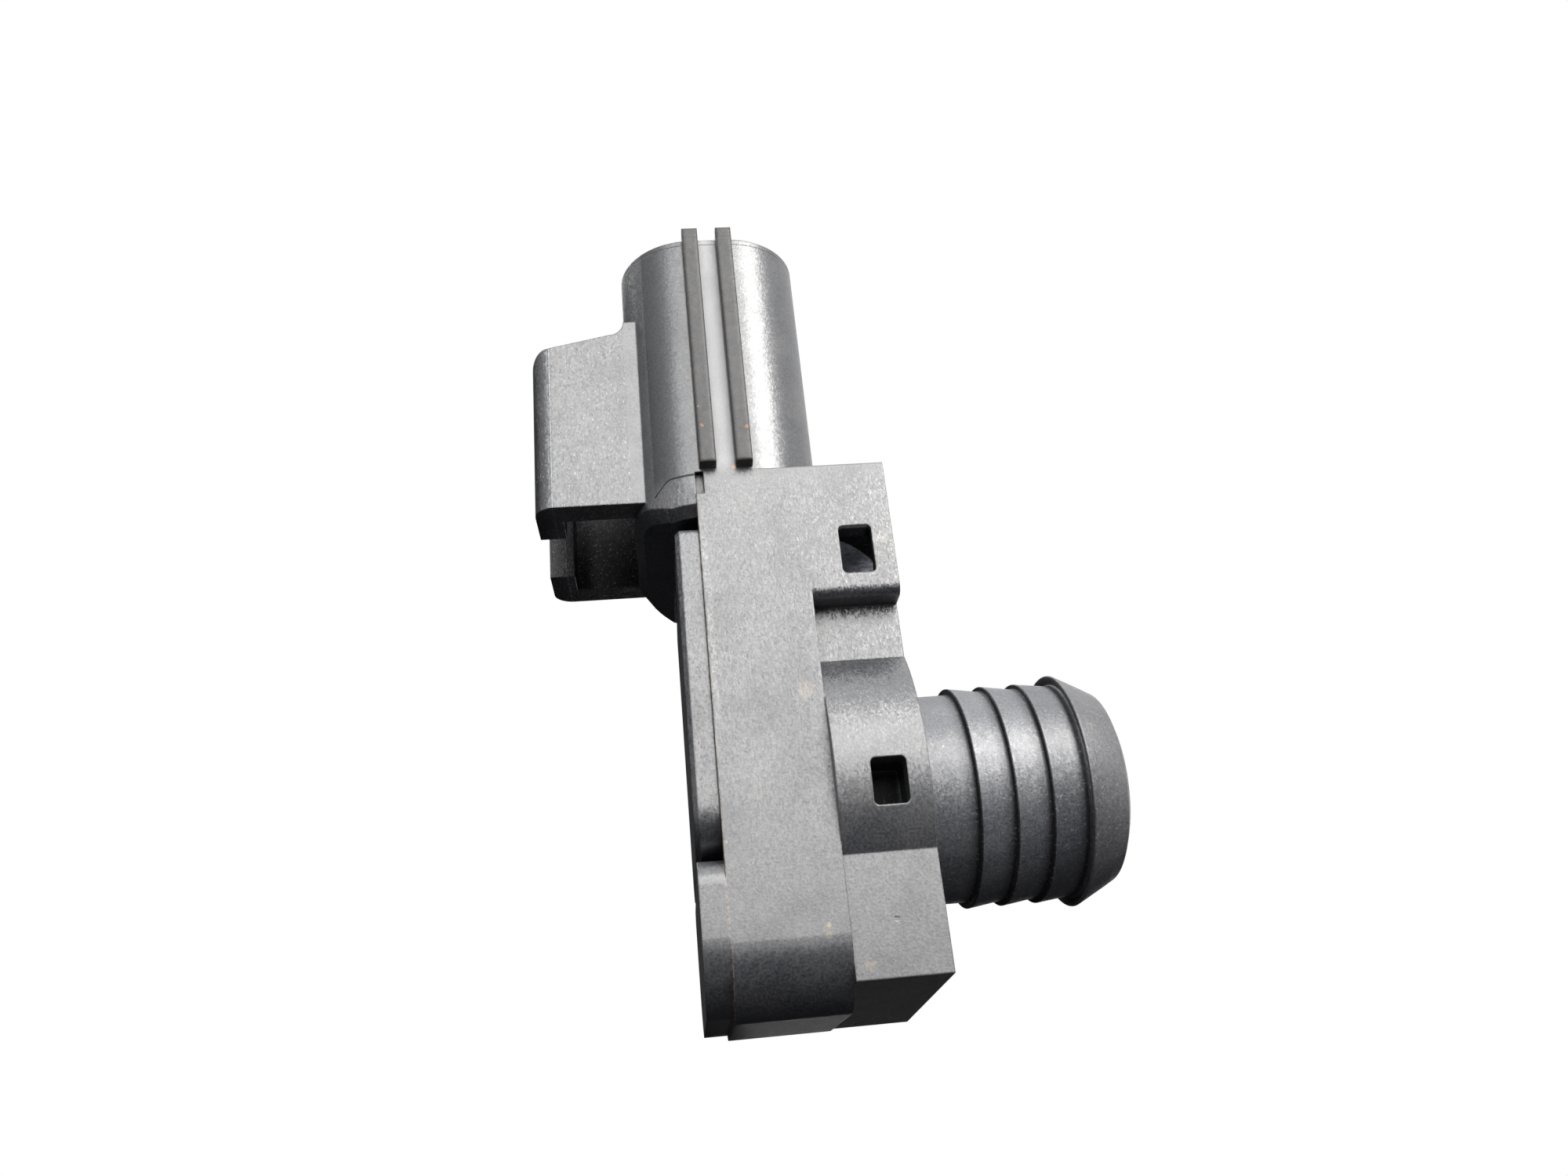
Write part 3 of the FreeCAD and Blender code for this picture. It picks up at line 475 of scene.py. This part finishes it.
def housing_marks(f, colour, height, shade_and_grease, on_ribs):
    """What the photo shows on the housing: mould lines, stains, rust specks, dust and the gate.

    The strip between the two ribs is smoother, and painted paler as a highlight. The joint is the brown
    line at the back of the block, with a painted highlight beside it along the main face's edge. Painted
    shade darkens the inside of the window holes, the latch room, the guard's lip and the side of the
    shroud beside the guard.
    """
    lines, flash_and_highlight, beside_guard = mould_lines(f)
    window_shade, lit_inner_wall = window_depths(f)
    stains = f.all_of(f.spots(TAN_STAIN_PLACES, 0.7), f.patches(0.5, 3.0, 0.3, 0.65))
    tan = f.most_of(f.part(f.spots(PALE_STAIN_PLACES, 1.1), 0.2), f.part(stains, 0.27))
    grit = f.spots(GRIT_PLACES, 0.25)
    dusty = f.all_of(on_ribs, f.patches(0.6, 3.0, 0.35, 0.7))
    highlit_channel = f.all_of(f.band(f.x, -13.9, 1.6), f.past(f.z, 27, 29),
                       f.before(f.y, -12.9, -12.7), f.past(f.y, -14.0, -13.8))
    rust = f.most_of(f.spots(RUST_PLACES, 0.3), f.spots(SMALL_RUST_PLACES, 0.15))
    joint = f.all_of(f.band(f.x, BLOCK_BACK, 0.14), f.patches(0.4, 3.0, 0.4, 0.58), f.before(f.z, 24, 25))
    # Painted highlight: a near-white broken line along the main face's edge beside the joint
    bright = f.all_of(f.band(f.x, BLOCK_BACK + 0.4, 0.35), f.patches(0.35, 3.0, 0.45, 0.62),
                      f.before(f.z, 21, 23), f.past(f.z, 2, 9))
    wall_streaks = f.patches(0.25, 3.0, 0.35, 0.7, (0.4, 1.0, 1.0))
    gate = f.spots(GATE_PLACES, 0.3)
    layers = (
        (tan, (0.4, 0.29, 0.17)),
        (f.part(grit, 0.45), (0.5, 0.36, 0.2)),
        (f.part(dusty, 0.45), (0.17, 0.15, 0.12)),
        # Painted highlight: the strip between the ribs made paler
        (f.part(highlit_channel, 0.45), (0.45, 0.45, 0.47)),
        (rust, (0.6, 0.27, 0.1)),
        (f.spots(SOOT_PLACES, 0.2), (0.02, 0.015, 0.01)),
        (f.part(lines, 0.9), (0.015, 0.015, 0.017)),
        # Painted highlight along the flash line
        (f.part(flash_and_highlight, 0.25), (0.4, 0.4, 0.4)),
        (f.part(joint, 0.5), (0.3, 0.22, 0.15)),
        (f.part(bright, 0.3), (0.6, 0.59, 0.57)),
        # Painted light: the lit inner wall of the upper window hole, pale and bluish, streaked by noise
        (f.all_of(lit_inner_wall, f.grow(wall_streaks, 0.25, 0.75)), (0.38, 0.41, 0.48)),
        (f.part(gate, 0.85), (0.03, 0.03, 0.03)),
    )
    for share, tint in layers:
        colour = f.blend(share, colour, tint)

    height = f.all_of(height, f.grow(highlit_channel, 1.0, -0.8))
    for share, step in ((lines, -1.5), (flash_and_highlight, 0.8), (gate, -3.0)):
        height = f.math("ADD", height, f.part(share, step))

    # Painted shade inside the window holes, lifted off the lit inner wall
    shade_and_grease = f.most_of(shade_and_grease, f.part(window_shade, 1.15))
    shade_and_grease = f.all_of(shade_and_grease, f.grow(lit_inner_wall, 1.0, -0.8))
    # Painted shade in the latch room, along the guard's lip and on the side of the shroud beside the
    # guard. The ribs are made darker and less glossy, and the mould lines also dark in gloss
    across = f.math("ABSOLUTE", f.y)
    latch_room = f.all_of(f.past(f.x, -31.18, -31.12), f.before(f.x, -21.3, -21.1),
                          f.before(across, 7.7, 7.8), f.before(f.z, 37, 42), f.past(f.z, 26.3, 26.35))
    guard_lip = f.all_of(f.before(f.x, -30.7, -29.6), f.past(f.z, 25.8, 26.2))
    shroud_side = f.all_of(beside_guard, f.before(f.x, -20.2, -17.2), f.past(f.z, 26, 28))
    shade_and_grease_places = ((latch_room, 0.9), (guard_lip, 0.5), (shroud_side, 0.55), (on_ribs, 0.68), (lines, 0.9))
    for share, amount in shade_and_grease_places:
        shade_and_grease = f.most_of(shade_and_grease, f.part(share, amount))
    return colour, height, shade_and_grease


def shade_before_steps(f):
    """Painted shade on the sleeve that deepens towards each sawtooth's step and ends just past it."""
    total = 0.0
    for place in (*RING_PLACES, BARB_PLACE):
        near = f.part(f.past(f.x, place - 1.3, place - 0.2), 0.45)
        close = f.part(f.past(f.x, place - 0.4, place - 0.05), 0.5)
        short_of_end = f.before(f.x, place + 0.1, place + 0.22)
        total = f.most_of(total, f.all_of(f.math("ADD", near, close), short_of_end))
    return f.all_of(total, f.before(f.x, BARB_PLACE + 0.1, BARB_PLACE + 0.22))


def dusty_rubber():
    """Black rubber with a fine tooth, painted shade under its rings, and tan grit on the barb."""
    f = Finish("dusty_rubber")
    tooth = f.noise(0.18, 3.0)
    colour = f.blend(f.rise(tooth, 0.3, 0.7), (0.042, 0.046, 0.058), (0.11, 0.114, 0.128))
    film = f.patches(3.0, 4.0, 0.4, 0.7, (0.6, 1.0, 1.0))
    colour = f.blend(f.part(film, 0.3), colour, (0.17, 0.17, 0.175))
    flat = f.add("CombineXYZ", {"Y": f.y, "Z": f.z}).outputs["Vector"]
    out = f.add("VectorMath", {0: flat}, operation="LENGTH").outputs["Value"]
    crest = f.past(out, BARB_RADIUS - 0.16, BARB_RADIUS - 0.05)
    grit = f.all_of(f.patches(0.22, 2.0, 0.58, 0.66), f.grow(crest, 0.1, 0.8))
    colour = f.blend(f.most_of(grit, f.spots(SLEEVE_GRIT_PLACES, 0.16)), colour, (0.42, 0.32, 0.2))
    smears = f.all_of(f.spots(SMEAR_PLACES, 0.55), f.patches(0.3, 3.0, 0.4, 0.6))
    on_barb = f.past(f.x, BARB_PLACE - 0.3, BARB_PLACE - 0.1)
    colour = f.blend(f.grow(smears, f.part(on_barb, 0.05), 0.5), colour, (0.36, 0.32, 0.27))
    # Painted shade before each step and in corners from ambient occlusion, and from 11.2 mm on darker,
    # less glossy rubber that dims the highlight on the barb ramp
    last_third = f.past(f.x, 11.2, 11.5)
    shade_and_grease = f.most_of(shade_before_steps(f), f.shade_in_hollows(1.2, 0.3, 0.8), f.part(last_third, 0.22))
    colour = f.blend(f.part(shade_and_grease, 0.9), colour, (0.008, 0.008, 0.01))
    f.feed(f.shader.inputs["Specular IOR Level"], f.grow(shade_and_grease, 1.0, -SHADE_AND_GREASE_COVER))
    f.shader.inputs["IOR"].default_value = MOULDED_IOR
    flecks = f.patches(0.28, 3.0, 0.6, 0.72, (0.7, 1.0, 1.4))
    colour = f.blend(f.part(flecks, 0.3), colour, (0.4, 0.4, 0.42))
    rounded, _ = f.edges(0.1 * MM, 0.03, 0.25)
    normal = f.sparkle(f.bump(tooth, 0.5, 0.04, rounded), 0.16, 0.12)
    return f.close(colour, normal, f.grow(f.noise(0.5, 2.0), 0.34, 0.2))


def plain_metal(name, colour, roughness, scratch):
    """Plated metal with drawing lines along Z."""
    f = Finish(name)
    lines = f.noise(0.12, 3.0, (1.0, 1.0, 0.06))
    shade = f.blend(f.rise(lines, 0.3, 0.7), tuple(c * 0.82 for c in colour), colour)
    f.shader.inputs["Metallic"].default_value = 1.0
    return f.close(shade, f.bump(lines, 0.2, 0.01), f.grow(lines, roughness, scratch))


def speckled(name, dark, pale, size, roughness):
    """A fine-grained solid, such as fired ceramic, resin or rubber, paler on its edges."""
    f = Finish(name)
    grain = f.noise(size, 3.0)
    colour = f.blend(f.rise(grain, 0.35, 0.65), dark, pale)
    rounded, edge = f.edges(0.08 * MM, 0.03, 0.3)
    colour = f.blend(f.part(edge, 0.3), colour, tuple(min(1.0, c * 1.4) for c in pale))
    return f.close(colour, f.bump(grain, 0.3, 0.01, rounded), f.grow(grain, roughness, 0.12))


def board_mask():
    """Green solder mask over copper tracks, with the weave of the glass just showing."""
    f = Finish("board_laminate")
    weave = f.all_of(f.math("SINE", f.part(f.y, WEAVE_PACE)), f.math("SINE", f.part(f.z, WEAVE_PACE)))
    flat = f.add("CombineXYZ", {"X": f.y, "Y": f.z}).outputs["Vector"]
    tracks = f.add("TexBrick", {
        "Vector": flat, "Scale": 320.0, "Mortar Size": 0.035,
        "Color1": (0, 0, 0, 1), "Color2": (0, 0, 0, 1), "Mortar": (1, 1, 1, 1),
    }).outputs["Color"]
    colour = f.blend(tracks, (0.02, 0.13, 0.05), (0.05, 0.24, 0.09))
    colour = f.blend(f.rise(weave, 0.2, 1.0), colour, (0.03, 0.17, 0.07))
    return f.close(colour, f.bump(weave, 0.15, 0.01), 0.28)


def soft_gel():
    """Clear gel with faint clouds in it."""
    f = Finish("clear_gel")
    cloud = f.patches(1.4, 3.0, 0.4, 0.7)
    f.shader.inputs["Transmission Weight"].default_value = 0.85
    f.shader.inputs["IOR"].default_value = 1.41
    return f.close(f.blend(cloud, (0.9, 0.93, 0.95), (0.8, 0.84, 0.86)), None, 0.06)


def dress_node(node, material):
    """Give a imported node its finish."""
    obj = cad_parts[node]
    obj.data.materials.clear()
    obj.data.materials.append(material)


def rounded_loop(corners, steps):
    """A closed outline whose corners are rounded, as an array of points.

    corners holds rows (x, r, radius). A corner's arc touches both of its sides: its centre lies on the
    bisector at radius / sin(a / 2) from the corner, where a is the angle between the sides, and the arc
    turns from one touching point to the other by spherical interpolation about that centre.
    """
    table = np.array(corners)
    spots, radii = table[:, :2], table[:, 2:]
    back = np.roll(spots, 1, axis=0) - spots
    ahead = np.roll(spots, -1, axis=0) - spots
    back /= np.linalg.norm(back, axis=1, keepdims=True)
    ahead /= np.linalg.norm(ahead, axis=1, keepdims=True)
    opening = np.arccos(np.clip((back * ahead).sum(axis=1, keepdims=True), -1, 1))
    middle = back + ahead
    middle /= np.linalg.norm(middle, axis=1, keepdims=True)
    centre = spots + middle * radii / np.sin(opening / 2)
    touch = radii / np.tan(opening / 2)
    first = spots + back * touch - centre
    last = spots + ahead * touch - centre
    swing = (np.pi - opening)[:, None, :]
    share = np.linspace(0, 1, steps)[None, :, None]
    arc = np.sin((1 - share) * swing) * first[:, None, :] + np.sin(share * swing) * last[:, None, :]
    return (centre[:, None, :] + arc / np.sin(swing)).reshape(-1, 2)


def grid_mesh(name, points, material):
    """A smooth-shaded mesh over a grid of points that closes on itself both ways."""
    rows, columns = points.shape[:2]
    index = np.arange(rows * columns).reshape(rows, columns)
    right = np.roll(index, -1, axis=1)
    faces = np.stack([index, right, np.roll(right, -1, axis=0), np.roll(index, -1, axis=0)], axis=-1)
    mesh = bpy.data.meshes.new(name)
    mesh.from_pydata(points.reshape(-1, 3).tolist(), [], faces.reshape(-1, 4).tolist())
    mesh.polygons.foreach_set("use_smooth", [True] * len(mesh.polygons))
    mesh.materials.append(material)
    obj = bpy.data.objects.new(name, mesh)
    bpy.context.scene.collection.objects.link(obj)
    return obj


def make_sleeve(material):
    """The rubber sleeve: a closed, rounded profile carried round the port axis.

    After a turn of a, the profile's point (x, r) lies at (x, r cos a, r sin a). The profile is the
    solid's own, with its crests, valleys and tip rounded. Its outside is 0.02 mm smaller, and uneven
    by 0.012 mm times sin(3a + 1.1) plus 0.008 mm times sin(7a + 0.4x).
    """
    corners = [(SLEEVE_START, SLEEVE_BORE, SHARP), (SLEEVE_START, SLEEVE_ROOT, 0.12)]
    for place in RING_PLACES:
        foot = SLEEVE_ROOT if place == RING_PLACES[0] else SLEEVE_VALLEY
        corners += [(place, foot, 0.14), (place, RING_RADIUS, 0.1)]
    # The last valley runs on under the barb. Then come the barb's cone, the nose, the lip and the bore
    corners += [
        (14.9, SLEEVE_VALLEY, 0.25), (BARB_PLACE, BARB_RADIUS, 0.12),
        (17.0, 9.15, 1.2), (18.1, 8.55, 0.35), (SLEEVE_TIP, 7.4, 0.5), (SLEEVE_TIP, LIP_RADIUS, 0.25),
        (LIP_START, LIP_RADIUS, SHARP), (LIP_START, SLEEVE_BORE, SHARP), (13.6, SLEEVE_BORE, SHARP),
        (12.7, GROOVE_RADIUS, SHARP), (GROOVE_START, GROOVE_RADIUS, SHARP),
        (GROOVE_START, SLEEVE_BORE, SHARP),
    ]
    profile = rounded_loop(corners, CORNER_STEPS)
    turn = np.linspace(0, FULL_TURN, SLEEVE_COLUMNS, endpoint=False)[:, None]
    x, out = profile[None, :, 0], profile[None, :, 1]
    outside = out > OUTSIDE_FROM
    wave = 0.012 * np.sin(3 * turn + 1.1) + 0.008 * np.sin(7 * turn + 0.4 * x)
    radius = out + np.where(outside, wave, 0.0) - 0.02 * outside
    along = np.broadcast_to(x, radius.shape)
    points = np.stack([along, radius * np.cos(turn), radius * np.sin(turn)], axis=-1)
    sleeve = grid_mesh("dusty_sleeve", points * MM, material)
    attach(sleeve, "root")
    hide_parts("port_sleeve")


bpy.context.scene.view_settings.view_transform = "Standard"
make_camera()
make_lights()
make_world()
make_floor()
make_flags()

black = moulded_plastic("housing_plastic", (0.028, 0.03, 0.037), (0.072, 0.073, 0.078), housing_marks)
tin = plain_metal("tinned_contact", (0.78, 0.78, 0.76), 0.2, 0.2)
finishes = {
    "housing": black,
    "rear_cover": moulded_plastic("cover_plastic", (0.025, 0.027, 0.033), (0.062, 0.063, 0.067)),
    "cover_seal": speckled("bead_silicone", (0.1, 0.1, 0.11), (0.15, 0.15, 0.16), 0.5, 0.35),
    "supply_terminal": tin,
    "signal_terminal": tin,
    "ground_terminal": tin,
    "solder_joints": plain_metal("solder", (0.74, 0.75, 0.76), 0.14, 0.1),
    "circuit_board": board_mask(),
    "evaluation_chip": speckled("chip_resin", (0.02, 0.02, 0.021), (0.045, 0.045, 0.046), 0.12, 0.5),
    "filter_capacitors": speckled("capacitor_ceramic", (0.4, 0.3, 0.2), (0.56, 0.45, 0.32), 0.15, 0.45),
    "pressure_cell": speckled("cell_ceramic", (0.8, 0.79, 0.76), (0.9, 0.89, 0.86), 0.2, 0.4),
    "cell_seal": speckled("seal_rubber", (0.02, 0.02, 0.02), (0.04, 0.04, 0.04), 0.3, 0.4),
    "sensing_die": plain_metal("silicon", (0.3, 0.32, 0.36), 0.08, 0.06),
    "gel_dam": speckled("dam_resin", (0.07, 0.07, 0.07), (0.12, 0.12, 0.12), 0.2, 0.5),
    "gel_fill": soft_gel(),
}
for node, finish in finishes.items():
    dress_node(node, finish)
make_sleeve(dusty_rubber())
